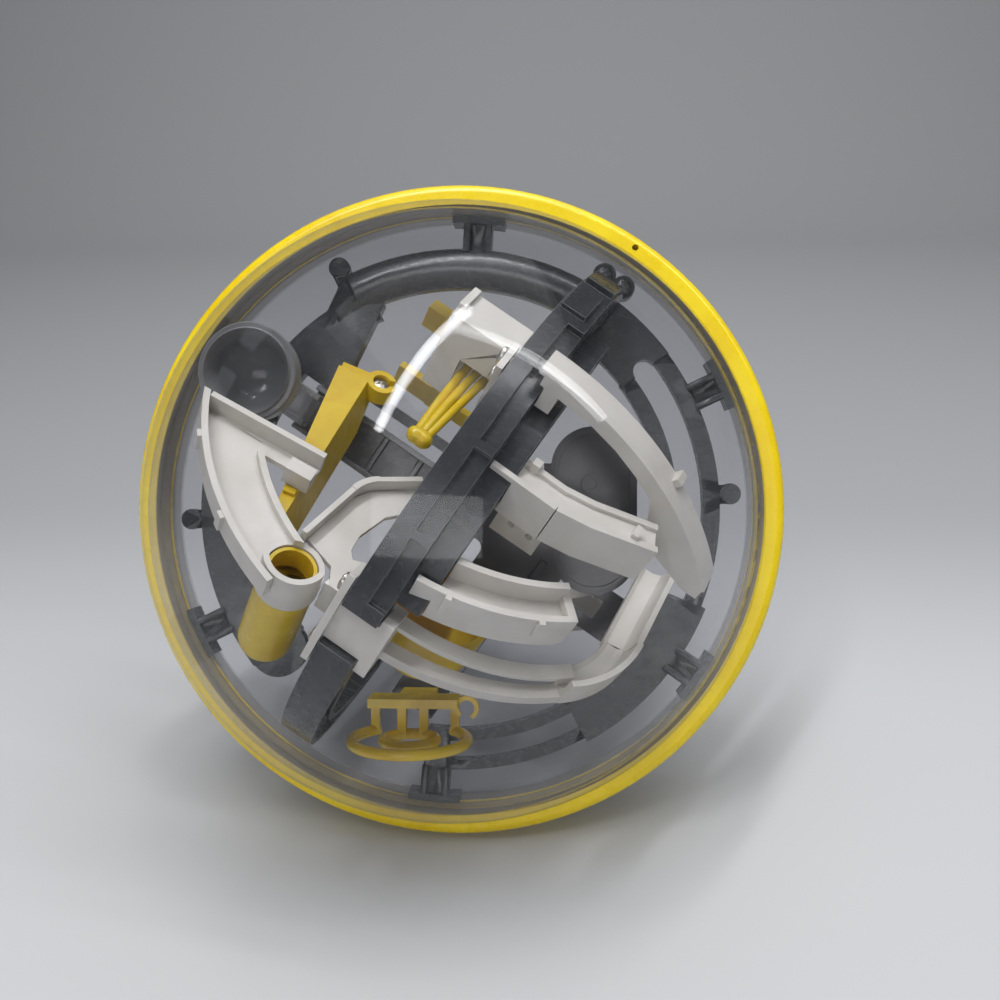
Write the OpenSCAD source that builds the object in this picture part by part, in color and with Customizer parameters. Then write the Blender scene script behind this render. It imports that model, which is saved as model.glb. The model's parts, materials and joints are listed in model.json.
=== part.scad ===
// Clear-sphere ball maze: two clear domes in a yellow equator ring, with tracks inside.
// Millimetres. The ball rests on a flat surface, leaning back on its rear dome and ring edge.

/* [Shell] */
// Outer radius of the clear domes
dome_r = 86; // [85.5:0.5:92]
// Wall of the clear domes
dome_wall = 2; // [1.2:0.1:2.6]
// Height of the equator ring above the domes
ring_h = 6; // [4:0.5:9]
// Width of the equator ring along its axis
ring_w = 12; // [9:0.5:16]
// Rounding of the ring's outer edges
ring_round = 2.5; // [1:0.1:3]
// Depth of the small flat that the rear dome rests on
rest_flat = 0.1; // [0.05:0.05:0.2]
// Thickness of the inner rib that the domes seat on
rib_t = 1.5; // [1:0.1:2.5]
// Diameter of the small vent hole in the ring
vent_d = 1.8; // [1:0.1:2.6]

/* [Ball] */
// Diameter of the steel ball
ball_d = 9; // [7:0.1:9.4]
// Room between the ball and the walls of its tube
ball_gap = 0.5; // [0.3:0.05:0.7]

/* [Fits] */
// Gap left between two pieces that meet
fit = 0.3; // [0.2:0.05:0.4]
// Wall of the moulded tracks
wall = 1.6; // [1.2:0.1:1.8]
// Diameter of the small screws
screw_d = 2.2; // [1.8:0.1:2.5]
// Diameter of the screw heads
head_d = 4.4; // [3.6:0.1:4.8]
// Height of the screw heads
head_h = 1.4; // [1:0.1:1.8]

/* [Frame] */
// Middle radius of the half-tube track
tube_r = 69.5; // [68.5:0.1:70]
// Width of the half-tube track
tube_w = 11.5; // [11:0.1:12]
// Height of the frame's front face over the ring's middle plane
frame_front = 1; // [0.5:0.1:1.5]
// Depth of the frame behind that plane
frame_back = 4; // [3:0.1:5]
// Width of each spoke
spoke_w = 8; // [6:0.5:10]
// Width of each spoke's T foot
foot_w = 15; // [12:0.5:18]
// Width of the round-ended tabs
tab_w = 6; // [5:0.5:8]
// Width of the dark trough
trough_w = 14.5; // [13:0.5:15]
// Radius of the start bowl
bowl_r = 13.3; // [11.5:0.1:13.4]

/* [Arch] */
// Outer radius of the arch
arch_r = 76; // [75:0.1:77]
// Depth of the arch along its radius
arch_depth = 10; // [9:0.5:11]
// Width of the arch
arch_w = 9.3; // [8.5:0.1:9.8]
// Width of the lower step on the arch's right side
step_w = 6; // [4:0.5:7]

/* [White tracks] */
// Outer radius of the scoop track
scoop_r = 75; // [73.5:0.1:75.5]
// Width of the scoop track
scoop_w = 15; // [14:0.1:15.5]
// Height of the scoop's outer wall
scoop_h = 6.5; // [5:0.1:7]
// Outer radius of the crescent track
crescent_r = 77.2; // [76.5:0.1:77.8]
// Width of the crescent's rim
crescent_w = 8; // [7:0.1:8.6]
// Width of the arm track
arm_w = 8.5; // [7.5:0.1:9]
// Outer radius of the channel track
channel_r = 60; // [59:0.1:60.5]
// Width of the channel track
channel_w = 8.5; // [8:0.1:9]
// Width of each of the twin rails
rail_w = 3.6; // [3:0.1:4]
// Height of the box chute
box_h = 23; // [21:0.5:24]
// Length of the box chute across the arch
box_l = 18; // [16:0.5:19]
// Width of the box chute along the arch
box_w = 11; // [10:0.5:12]

/* [Yellow tracks] */
// Length of the drop tube
drop_l = 32; // [28:0.5:36]
// Wall of the drop tube
drop_wall = 2; // [1.6:0.1:2.6]
// Thickness of the drop tube's sleeve in the ball hole
sleeve_t = 0.9; // [0.7:0.1:1.2]
// Width of the yellow arm
bar_w = 11.5; // [10:0.1:12]
// Diameter of the bridge rods
rod_d = 2.2; // [1.8:0.1:2.4]
// Diameter of the spiral hook's outer loop
loop_d = 34; // [30:0.5:35]
// Thickness of the spiral hook's wire
loop_t = 3; // [2.4:0.1:3.4]
// Radius of the half tub
tub_r = 12.9; // [11:0.1:13]

/* [Hidden] */
$fn = 96;
ring_r = dome_r + ring_h;
inner_r = dome_r - dome_wall;
rib_h = rib_t / 2;
// The ball leans until the flat of the rear dome and the rounded edge of the ring meet the floor.
lean_a = ring_r - ring_round;
lean_b = ring_w / 2 - ring_round;
lean = atan2(lean_b, lean_a) + acos((dome_r - rest_flat - ring_round) / norm([lean_a, lean_b]));
// The arch crosses the ring at this angle, and the tracks stand at maze_tilt to the ring.
roll = 55.5;
maze_tilt = 45;

foot_r = inner_r - fit;
tube_out = tube_r + tube_w / 2;
spoke_angles = [for (i = [0:5]) 30 + 60 * i];
tab_angles = [60.5, 126.5, 308];
boss_r = 79;
boss_d = 6.6;
boss_y = 3.2;
bowl_y = inner_r - bowl_r - 3.7;
bowl_z0 = frame_front + fit;
bowl_z1 = 20;
trough_y0 = 6.3;
trough_y1 = min(bowl_y - bowl_r, 57);
core_x = [-23, 13];
core_y = [-30, trough_y0 - fit];
core_z = [-7, -3];

arch_in = arch_r - arch_depth;
arch_left = arch_w / 2 - 0.35;
arch_right = arch_w - arch_left;
// the ends of the arch stand just clear of the frame
tube_top = frame_front - 2.5 + tube_w / 2;
arch_a0 = asin((tube_top + fit) / tube_r);
rear_a1 = 360 - asin((frame_back + fit) / arch_in);
arch_a1 = 190;
step_r = [arch_in - 4, arch_in + 4];
step_a = [35, 106];
notch_a = [110, 119];
notch_depth = 4.6;

scoop_z = 23;
scoop_a = [119, 164];
hole_pos = [-62.3, 19.6];
collar_r = ball_d / 2 + ball_gap + drop_wall + 0.6;
collar_h = 7;
drop_r = ball_d / 2 + ball_gap + drop_wall;
drop_bore = ball_d / 2 + ball_gap;
drop_z1 = scoop_z - collar_h - fit;
drop_z0 = drop_z1 - drop_l;
ball_z = drop_z0 + drop_wall + ball_d / 2 + ball_gap * 0.6;

lip_c = [-36.9, 9.6];
lip_r = 12;
crescent_x1 = -12;
crescent_x0 = crescent_x1 - crescent_w;
crescent_c = [-2.5, 1];
crescent_end = 51;
arm_z = 60;
channel_z = 40;
rail1_z = 28;
rail2_z = 20;
rail_c = [0, -4];
rail_slope = 5.5;
trough_c = [-24.8, -29.7];
trough_r = 26.3;
rail1_r = 62.4;
rail2_r = 65.2;
box_z1 = 70;
box_z0 = box_z1 - box_h;
box_x0 = -12;
flange_y0 = arch_left + fit;
flange_t = 1.8;
tub_pos = [-45, -13.5];
tub_z0 = -4;
tub_z1 = scoop_z - wall - fit;
hook_pos = [6.4, 37];
spiral_pos = [-10.8, -61.5, 20];
// screws on the left side of the arch: radius and angle
flange_screws = [[arch_in + 8, 58], [arch_in + 2, 58.8]];
clip_screws = [[arch_in + 7, 107.2], [arch_in + 4.5, 122]];
// the left plate is thinner and the pocket behind the right one deep, so that the ball stands level
pocket_floor = 13.8;
plate_cut = 1.5;
rear_z = 25;
rear_r = 65;
arm_z0 = 8.2;
arm_z1 = 19.6;

yellow = "#f2d32a";
charcoal = "#3c3e42";
dark = "#27282b";
white = "#e9e7e2";
clear = [0.9, 0.93, 0.95, 0.25];
steel = "#c9ccd0";

// Ring frame: x along the arch to the upper right, z out of the front of the ball.
module stand() translate([0, 0, dome_r - rest_flat]) rotate([90 - lean, 0, 0]) rotate([0, 0, roll]) children();

// Maze frame: tilted about the y axis of the ring frame, so that the track floors lie flat.
module maze() rotate([0, maze_tilt, 0]) children();

// Axis of a turned band along x, with 180 degrees pointing up.
module about_x() rotate([0, 90, 0]) children();

// Axis of a turned band along y, with 0 degrees along x and 90 degrees to the front.
module about_y() rotate([90, 0, 0]) children();

// Part of a ring of rectangular section, between two radii, heights and angles.
module arc_band(r0, r1, z0, z1, a0, a1)
    rotate([0, 0, a0]) rotate_extrude(angle = a1 - a0) translate([r0, z0]) square([r1 - r0, z1 - z0]);

// Box between two corners.
module block(lo, hi) translate(lo) cube(hi - lo);

// Rectangle with rounded corners, between two corners.
module round_rect(lo, hi, r) {
    translate([lo.x + r, lo.y]) square([hi.x - lo.x - 2 * r, hi.y - lo.y]);
    translate([lo.x, lo.y + r]) square([hi.x - lo.x, hi.y - lo.y - 2 * r]);
    for (x = [lo.x + r, hi.x - r], y = [lo.y + r, hi.y - r]) translate([x, y]) circle(r);
}

// Screw with a domed cross-slotted head that sits on z = 0 and a shank below it.
module screw(len) {
    difference() {
        intersection() {
            cylinder(d = head_d, h = head_h);
            translate([0, 0, head_h - head_d]) sphere(head_d);
        }
        for (a = [45, 135]) rotate([0, 0, a]) translate([0, 0, head_h])
            cube([head_d * 0.7, head_d * 0.16, head_h], center = true);
    }
    translate([0, 0, -len]) cylinder(d = screw_d, h = len);
}

// A place on the left side of the arch, given by radius and angle, with z pointing outwards.
module on_arch_side(at, y)
    about_y() rotate([0, 0, at[1]]) translate([at[0], 0, -y]) rotate([180, 0, 0]) children();

module equator_ring() color(yellow) stand() difference() {
    rotate_extrude() {
        difference() {
            round_rect([dome_r - ring_round, -ring_w / 2], [ring_r, ring_w / 2], ring_round);
            translate([0, -ring_w]) square([dome_r + 0.1, 2 * ring_w]);
        }
        translate([inner_r, -rib_h]) square([dome_wall + 1, rib_t]);
    }
    translate([dome_r + ring_h / 2, 0, 0]) cylinder(d = vent_d, h = ring_w);
}

module half_dome() difference() {
    sphere(dome_r);
    sphere(inner_r);
    translate([-dome_r, -dome_r, -2 * dome_r + rib_h]) cube(2 * dome_r);
}

module front_dome() color(clear) stand() half_dome();

module rear_dome() color(clear) difference() {
    stand() rotate([0, 180, 0]) half_dome();
    // the floor takes off the flat
    translate([-dome_r / 2, -dome_r / 2, -dome_r]) cube(dome_r);
}

// Section of the half-tube track: a vault that is open to the rear.
module tube_section() translate([tube_r, frame_front - 2.5]) difference() {
    union() {
        circle(d = tube_w);
        translate([-tube_w / 2, -frame_back + 1.5]) square([tube_w, frame_back - 1.5]);
    }
    circle(d = tube_w - 2 * wall);
    translate([-tube_w / 2 + wall, -tube_w]) square([tube_w - 2 * wall, tube_w]);
    translate([-tube_w, -tube_w - frame_back + 1.5]) square([2 * tube_w, tube_w]);
}

// One spoke: two ribs on a thin web, ending in a T foot that reaches the ring's rib.
module spoke(top) {
    r0 = tube_out - 1.5;
    r1 = foot_r - 1;
    rib = 2;
    z0 = -frame_back + 0.5;
    for (y = [-spoke_w / 2, spoke_w / 2 - rib]) block([r0, y, z0], [r1, y + rib, top]);
    block([r0 + 0.2, -spoke_w / 2 + 1, -1], [r1 + 0.2, spoke_w / 2 - 1, 0.6]);
    half_a = asin(foot_w / 2 / foot_r);
    arc_band(foot_r - 2, foot_r, z0 - 0.2, top + 0.2, -half_a, half_a);
}

module tab() {
    block([tube_out - 4, -tab_w * 0.45, -2], [tube_out + 2.5, tab_w * 0.45, 0.6]);
    translate([tube_out + 2.5, 0, -2.2]) cylinder(d = tab_w, h = 3);
}

module mid_frame() color(charcoal) stand() {
    z0 = -frame_back;
    z1 = frame_front;
    rail = tube_out - 0.5;
    difference() {
        union() {
            rotate([0, 0, 2]) rotate_extrude(angle = 58) tube_section();
            // its left end tapers towards the bowl
            intersection() {
                rotate([0, 0, 60]) translate([tube_r, -0.4, frame_front - 2.5]) rotate([0, 0, 116]) rotate([0, 90, 0]) {
                    cylinder(r1 = tube_w / 2 - 0.3, r2 = 2.2, h = 15);
                    translate([0, 0, 15]) sphere(2.3);
                    sphere(tube_w / 2 - 0.25);
                }
                block([0, 0, z0 + 0.5], [90, 90, 20]);
            }
            // right side: a web, then two rails with a slot between them
            arc_band(58.8, rail + 0.2, z0, z1, 341, 362.5);
            arc_band(70, rail, z0 + 0.2, z1 - 0.2, 280, 342);
            arc_band(58.4, 63, z0 + 0.2, z1 - 0.2, 296, 342);
            arc_band(60, 71, z0 + 0.4, z1 - 0.4, 294, 299);
            // lower right plate, and the two rails that leave it
            arc_band(64, tube_out + 0.8, z0, z1, 244, 283);
            arc_band(72, rail, z0 + 0.2, z1 - 0.2, 208, 245);
            arc_band(63.2, 66.5, z0 + 0.2, z1 - 0.2, 211, 245);
            arc_band(63, rail + 0.2, z0, z1, 207, 212.5);
            // deep ball pocket on the rear side of the lower right plate
            arc_band(65, 67, z0 - 16, z0 + 0.6, 245.5, 281.5);
            arc_band(73, 75, z0 - 15.8, z0 + 0.7, 245.5, 281.5);
            arc_band(65.4, 74.6, z0 - 16.3, z0 - pocket_floor, 245.8, 281.2);
            for (a = [245.7, 279.5]) arc_band(66, 74, z0 - 15.4, z0 + 0.5, a, a + 1.6);
            // left plate behind the drop tube, with a rounded end
            arc_band(57, rail, z0 + plate_cut, z1, 118, 162);
            rotate([0, 0, 162]) translate([(57 + rail) / 2, 0, z0 + plate_cut])
                cylinder(r = (rail - 57) / 2 - 0.4, h = z1 - z0 - plate_cut);
            // web behind the bowl
            arc_band(59.3, 68.7, z0 + 0.2, z1 - 0.2, 56, 121);
            arc_band(66, rail + 0.2, z0, z1, 80, 100);
            // panel and side bar that join the half-tube to the centre
            extrude_between(z0, z1)
                polygon([[37, 51], [30, 62], [21, 65], [trough_w / 2 + fit, 62],
                    [trough_w / 2 + fit, 46], [19, 48.5]]);
            block([11.5, trough_y0, z0], [14.5, 54, z1]);
            for (a = spoke_angles) rotate([0, 0, a]) spoke(a == 90 ? z1 - 0.3 : 3);
            for (a = tab_angles) rotate([0, 0, a]) tab();
            // boss for the two screws at the arch's foot
            block([tube_out - 1, -boss_y, z0 + 0.2], [boss_r, boss_y, z1 - 0.2]);
            for (s = [-1, 1]) translate([boss_r, s * boss_y, z0]) cylinder(d = boss_d, h = z1 - z0);
        }
        rotate([0, 0, 341]) translate([66.5, 0, z0 - 1]) cylinder(r = 3.2, h = z1 - z0 + 2);
        for (s = [-1, 1]) translate([boss_r, s * boss_y, z0 - 1]) cylinder(d = screw_d + fit, h = z1 - z0 + 2);
    }
}

// Straight extrusion between two heights.
module extrude_between(z0, z1) translate([0, 0, z0]) linear_extrude(z1 - z0) children();

// Closed tube with a round end, mouth at the top.
module pocket(r, bore, z0, z1) difference() {
    union() {
        translate([0, 0, z0 + r]) cylinder(r = r, h = z1 - z0 - r);
        translate([0, 0, z0 + r]) sphere(r);
    }
    translate([0, 0, z0 + r]) cylinder(r = bore, h = z1 - z0);
    translate([0, 0, z0 + r]) sphere(bore);
}

module start_bowl() color(dark) stand() translate([0, bowl_y, 0]) difference() {
    union() {
        pocket(bowl_r, bowl_r - wall, bowl_z0, bowl_z1);
        translate([0, 0, bowl_z1 - 1]) rotate_extrude() translate([bowl_r - 0.6, 0]) circle(1);
        // spout that reaches over the trough
        difference() {
            block([-5, -bowl_r - 4, bowl_z0], [5, -bowl_r + 4, bowl_z0 + 6]);
            translate([0, 0, bowl_z0 + bowl_r]) sphere(bowl_r - 0.2);
        }
    }
    block([-3.6, -bowl_r - 8, bowl_z0 + 1.4], [3.6, -bowl_r + 5, bowl_z0 + 9]);
}

module start_trough() color(dark) stand() {
    x = trough_w / 2;
    difference() {
        block([-x, trough_y0, -5], [x, trough_y1, 0.8]);
        block([-x + wall, trough_y0 - 1, -5 + wall], [x - wall, trough_y1 + 1, 2]);
    }
    for (y = [16, 28, 40]) block([-x + 1, y, -5], [x - 1, y + wall, -2]);
}

module centre_plate() color(dark) stand() difference() {
    union() {
        block([core_x[0], core_y[0], core_z[0]], [core_x[1], core_y[1], core_z[1]]);
        // raised sides, a bridge to the lower right plate and a beam that carries the spiral hook
        block([core_x[0], core_y[0], core_z[0]], [core_x[0] + 2, core_y[1], 1]);
        block([core_x[0], core_y[0], core_z[0]], [2, core_y[0] + 2, 1]);
        block([-8, -63.2, core_z[0]], [6, core_y[0] + 1, core_z[1]]);
        block([-55, -28, core_z[0]], [core_x[0] + 1, -14, core_z[1]]);
    }
    extrude_between(core_z[0] - 1, 5) round_rect([-20, -12], [-4, -6.5], 2.7);
    block([-4, -50, core_z[0] - 1], [2, -36, core_z[1] + 1]);
}

module cover_plate() color(dark) stand() rotate([0, 0, -roll]) {
    z = core_z[1] + fit;
    t = 3;
    extrude_between(z, z + t) round_rect([27, -24], [51.5, 24], 12);
    // raised rim and ring boss
    extrude_between(z + t - 0.5, z + t + 0.8) difference() {
        round_rect([28, -23], [50.5, 23], 11);
        round_rect([29.2, -21.8], [49.3, 21.8], 9.8);
    }
    translate([38.4, 7.7, z + t - 0.5]) difference() {
        cylinder(r = 2.8, h = 2.5);
        translate([0, 0, 0.8]) cylinder(r = 1.6, h = 3);
    }
    // two clip nubs on the side towards the centre
    for (y = [3, 10]) block([25, y, z], [29, y + 3.5, z + t - 0.6]);
}

// The arch's solid, grown by g on every face, so that other pieces can leave room for it.
module arch_body(g) {
    about_y() {
        arc_band(arch_in - g, arch_r + g, -arch_left - g, arch_right + g, arch_a0 - g, arch_a1 + g);
        arc_band(step_r[0] - g, step_r[1] + g, arch_right - 1, arch_right + step_w + g,
            step_a[0] - g, step_a[1] + g);
    }
}

module front_arch() color(charcoal) stand() difference() {
    union() {
        arch_body(0);
        // two raised blocks by the upper foot and a tab at the lower end
        about_y() {
            arc_band(arch_r - 1, arch_r + 1.6, -arch_left + 0.6, arch_right - 0.6, 14, 26);
            arc_band(arch_r - 1, arch_r + 1.2, -arch_left + 0.6, arch_right - 2, 30, 41);
            arc_band(arch_r - 6, arch_r - 3, -2, 2, arch_a1 - 1, arch_a1 + 2.5);
        }
    }
    about_y() {
        // long facet along the right edge, broken by cross ribs
        for (a = [[44, 56], [57.5, 74], [75.5, 92], [93.5, notch_a[0] - 3]])
            arc_band(arch_r - 1.6, arch_r + 3, 0.5, arch_right + 1, a[0], a[1]);
        // recess in the right side of the lower end
        arc_band(arch_in + 2, arch_r - 2, arch_right - 2, arch_right + 1, notch_a[1] + 12, arch_a1 - 3);
        // slot that the clip of the twin rails passes through
        arc_band(arch_r - notch_depth, arch_r + 3, -arch_left - 1, arch_right + 1, notch_a[0], notch_a[1]);
        // openings in the lower step
        for (a = [46, 66, 86])
            arc_band(step_r[0] + 2, step_r[1] - 2, arch_right + 1, arch_right + step_w + 1, a, a + 12);
    }
    for (at = concat(flange_screws, clip_screws)) on_arch_side(at, arch_left)
        translate([0, 0, -6]) cylinder(d = screw_d + fit, h = 8);
}

module rear_arch() color(charcoal) stand() difference() {
    about_y() {
        arc_band(arch_in, arch_r, -arch_left, arch_right, arch_a1 + 0.3, rear_a1);
        arc_band(step_r[0], step_r[1], -arch_left - step_w, -arch_left + 1, 195, 288.5);
    }
    about_y() {
        for (a = [200:18:330]) arc_band(arch_in + 3, arch_r - 3, -arch_left - 1, -arch_left + 2, a, a + 13);
        for (a = [200:18:330]) arc_band(arch_in + 3, arch_r - 3, arch_right - 2, arch_right + 1, a, a + 13);
        arc_band(arch_r - 6.5, arch_r - 2.5, -2.5, 2.5, arch_a1 - 1, arch_a1 + 3.2);
    }
}

// Floor and walls of the scoop, in the maze frame.
module scoop_shape() {
    z0 = scoop_z - wall;
    z1 = scoop_z + scoop_h - wall;
    bar_a = 7.5;
    difference() {
        union() {
            difference() {
                union() {
                    arc_band(scoop_r - scoop_w, scoop_r, z0, scoop_z, scoop_a[0], scoop_a[1]);
                    arc_band(scoop_r - wall, scoop_r, z0, z1, scoop_a[0], scoop_a[1]);
                    arc_band(scoop_r - scoop_w, scoop_r - scoop_w + wall, z0 + 0.3, scoop_z + 2, 133, scoop_a[1] - 4);
                    // small lugs on the outer wall
                    for (a = [130, 148]) arc_band(scoop_r - wall, scoop_r + 1, z0 + 1, scoop_z + 4.5, a, a + 1.6);
                }
                // nothing reaches past the straight wall
                translate([-37, 63, 0]) rotate([0, 0, bar_a]) translate([0, -80, 0]) cube([80, 120, 60]);
            }
            translate([-37, 63, 0]) rotate([0, 0, bar_a]) {
                block([-6, -32, z0], [0, -2, scoop_z]);
                block([-wall, -32, z0], [0, -0.4, z1]);
                block([-8, -32, arm_z1 + fit], [-4, -25, scoop_z + 2.4]);
            }
            translate([hole_pos.x, hole_pos.y, scoop_z - collar_h]) cylinder(r = collar_r, h = collar_h - 0.2);
            // the outer wall runs on round the far side of the hole
            difference() {
                translate([hole_pos.x, hole_pos.y, scoop_z - 1]) cylinder(r = collar_r, h = z1 - scoop_z + 1);
                translate([hole_pos.x, hole_pos.y, scoop_z - 2]) cylinder(r = collar_r - wall, h = scoop_h + 2);
                rotate([0, 0, scoop_a[1] - 5]) translate([0, -40, 0]) cube([100, 40, 60]);
                cylinder(r = norm(hole_pos) - 2, h = 60);
            }
        }
        translate([hole_pos.x, hole_pos.y, 0]) cylinder(r = drop_bore + sleeve_t + fit, h = 60);
    }
}

module scoop_track() color(white) stand() difference() {
    maze() scoop_shape();
    arch_body(fit);
}

module drop_tube() color(yellow) stand() maze() translate([hole_pos.x, hole_pos.y, 0]) {
    pocket(drop_r, drop_bore, drop_z0, drop_z1);
    // thin sleeve that lines the ball hole
    difference() {
        translate([0, 0, drop_z1 - 1]) cylinder(r = drop_bore + sleeve_t, h = scoop_z - 0.5 - drop_z1 + 1);
        translate([0, 0, drop_z1 - 2]) cylinder(r = drop_bore + 0.02, h = 40);
    }
}

module steel_ball() color(steel) stand() maze() translate([hole_pos.x, hole_pos.y, ball_z]) sphere(d = ball_d);

module ramp_plate() color(white) stand() difference() {
    maze() difference() {
        union() {
            extrude_between(scoop_z - wall, scoop_z)
                polygon([[-53.5, 21.5], [-36, 20.2], [-31, 18], [-22, 9.6], [-22, -4], [-60.6, -4], [-60.6, 10.5],
                    [-56, 13]]);
            // raised lip along the upper edge, with a rounded corner
            translate([lip_c.x, lip_c.y, 0]) {
                arc_band(lip_r - wall, lip_r, scoop_z - wall - 0.2, scoop_z + 4, 45, 85);
                rotate([0, 0, 45])
                    block([lip_r - wall + 0.1, -11.5, scoop_z - wall - 0.1], [lip_r - 0.1, 0.3, scoop_z + 3.8]);
                rotate([0, 0, 85])
                    block([lip_r - wall + 0.1, -0.3, scoop_z - wall - 0.1], [lip_r - 0.1, 19, scoop_z + 3.8]);
            }
            // skirt between the ball hole and the arch
            block([-60.6, -3.6, scoop_z - 11], [-59, 13, scoop_z - 0.3]);
        }
        extrude_between(0, 60) polygon([[-51, 10.2], [-49, 11.9], [-44, 12.6], [-35, 10.8], [-31, 8],
            [-28, -1], [-46, -1]]);
        // room for the scoop
        arc_band(scoop_r - scoop_w - fit, 90, 0, 60, 118, scoop_a[1] + 5);
        translate([hole_pos.x, hole_pos.y, 0]) cylinder(r = collar_r + fit, h = 60);
    }
    arch_body(fit);
}

module box_chute() color(white) stand() difference() {
    union() {
        maze() difference() {
            y0 = flange_y0;
            union() {
                block([box_x0, y0, box_z0], [box_x0 + box_w, y0 + box_l, box_z1]);
                // lug on the far top corner
                block([box_x0 + 3, y0 + box_l - 1.8, box_z1 - 1], [box_x0 + box_w, y0 + box_l, box_z1 + 1.4]);
            }
            block([box_x0 + wall, y0 + wall, box_z0 - 1], [box_x0 + box_w - wall, y0 + box_l - wall, box_z1 - wall]);
            // window for the rods
            block([box_x0 - 1, y0 + 3, box_z0 - 1], [box_x0 + wall + 1, y0 + 11.5, box_z0 + 12.5]);
        }
        // flange against the left side of the arch
        about_y() {
            arc_band(arch_in - 1, arch_r - 5, -flange_y0 - flange_t, -flange_y0, 48, 61);
            arc_band(arch_in - 0.6, arch_r, -flange_y0 - flange_t + 0.1, -flange_y0 - 0.1, 55.5, 61.5);
        }
    }
    for (at = flange_screws) on_arch_side(at, flange_y0) translate([0, 0, -1]) cylinder(d = screw_d + fit, h = 6);
}

// Side wall of the crescent, drawn across the maze frame and kept inside the rim.
module crescent_side() rotate([90, 0, 90]) translate([0, 0, crescent_x0]) linear_extrude(wall) intersection() {
    translate(crescent_c) circle(crescent_r - 0.5);
    polygon([[-4, 74], [-18, 72.6], [-26, 70.5], [-33, 67.5], [-39, 64], [-44, 52], [-58, 46], [-62, 46],
        [-62, 90], [-4, 90]]);
}

module crescent_track() color(white) stand() difference() {
    maze() {
        translate([0, crescent_c.x, crescent_c.y]) about_x() {
            arc_band(crescent_r - wall, crescent_r, crescent_x0, crescent_x1, 180, 180 + crescent_end);
            // lug on the rim
            arc_band(crescent_r - 1, crescent_r + 1.6, crescent_x1 - 3, crescent_x1 + 0.8, 209.5, 211);
        }
        crescent_side();
        // root beside the arch
        block([crescent_x0, -9, 68], [crescent_x1, -5, crescent_r]);
    }
    arch_body(fit);
}

// Centre line of the arm track, from the arch outwards, in the maze frame.
arm_path = [[-32, -5], [-32.5, -22], [-31, -30], [-26, -44.5]];

module arm_run(offset_x, width, z0, z1) for (i = [0:len(arm_path) - 2]) {
    a = arm_path[i];
    b = arm_path[i + 1];
    turn = atan2(b.y - a.y, b.x - a.x);
    translate([a.x, a.y, z0]) rotate([0, 0, turn])
        translate([0, offset_x - width / 2, 0]) cube([norm(b - a) + 0.6, width, z1 - z0]);
}

module arm_track() color(white) stand() difference() {
    maze() difference() {
        union() {
            arm_run(0, arm_w, arm_z - wall, arm_z);
            arm_run(-arm_w / 2 + wall / 2, wall, arm_z - 10, arm_z + 1.5);
            arm_run(arm_w / 2 - wall / 2, wall, arm_z - 4, arm_z + 1);
            // lugs, and the block under the root with its two holes
            block([-30, -14.5, arm_z - 1], [-27.6, -12.5, arm_z + 2.6]);
            block([-30.5, -41, arm_z - 1], [-27, -39.5, arm_z + 2.6]);
            difference() {
                block([-33, -24, arm_z - 20], [-31, -12, arm_z - 1]);
                for (y = [-21, -16]) translate([-40, y, arm_z - 15]) rotate([0, 90, 0]) cylinder(d = 1.8, h = 20);
            }
        }
        block([crescent_x0 - fit, -70, 0], [20, -4, 90]);
    }
    arch_body(fit);
}

module channel_shape() {
    r0 = channel_r - channel_w;
    a = [186, 222];
    arc_band(r0, channel_r, channel_z - wall, channel_z, a[0], a[1]);
    arc_band(channel_r - wall, channel_r, channel_z - 8, channel_z + 3, a[0], a[1]);
    arc_band(r0, r0 + wall, channel_z - 3, channel_z + 6, a[0], a[1]);
    for (i = [193, 214]) arc_band(channel_r - 1, channel_r + 1, channel_z - 3, channel_z + 3, i, i + 1.4);
}

module channel_track() color(white) stand() difference() {
    maze() union() {
        channel_shape();
        // end block that turns down to the corner of the twin rails
        rotate([0, 0, 222])
            block([channel_r - channel_w + 0.2, -0.5, channel_z - 7.6], [channel_r - 0.2, wall, channel_z + 2.6]);
    }
    arch_body(fit);
    block([-90, -arch_right - fit, -90], [90, 90, 90]);
}

// Section of the trough that the rails end in: a hollow floor and a high outer wall.
module rail_section()
    polygon([[-4, -wall], [4, -wall], [4, 7.6], [2.5, 7.6], [2.3, 3.4], [1.4, 1.3], [-0.6, 0.2], [-2.8, 0.1], [-4, 0.9]]);

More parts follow.
